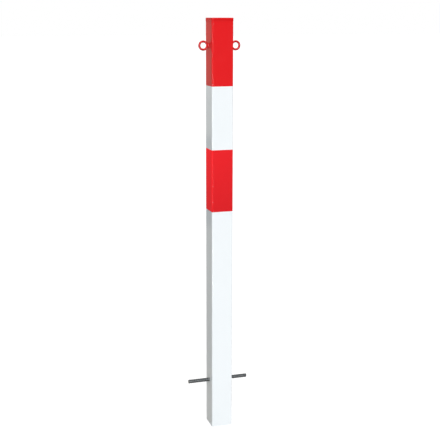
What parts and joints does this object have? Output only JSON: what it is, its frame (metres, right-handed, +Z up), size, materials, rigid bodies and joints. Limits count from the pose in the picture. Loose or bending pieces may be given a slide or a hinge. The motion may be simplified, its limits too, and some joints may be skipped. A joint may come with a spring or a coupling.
{
  "type": "barrier post",
  "caption": "Square steel barrier post with red and white bands, two welded chain eyes, a plastic end cap and a ribbed anchor rod through its foot, for setting in concrete.",
  "frame": {"origin": "centre of the tube's lower end, where the post stands in its hole", "axes": "+Z up along the post, X along the line from one chain eye to the other and along the anchor rod, -Y towards the viewer of the picture"},
  "size_m": [0.203, 0.0712, 1.35],
  "materials": {
    "white_coat": "glossy powder coat on galvanised steel",
    "red_coat": "glossy powder coat on galvanised steel",
    "red_plastic": "moulded plastic with a fine satin grain",
    "red_film": "retroreflective film with a smooth clear face",
    "bar_steel": "hot rolled, with mill scale"
  },
  "bodies": {
    "root": {"post_tube": "white_coat", "top_cap": "red_plastic", "left_eye": "red_coat", "right_eye": "red_coat", "reflective_band": "red_film", "anchor_rod": "bar_steel"}
  },
  "joints": []
}
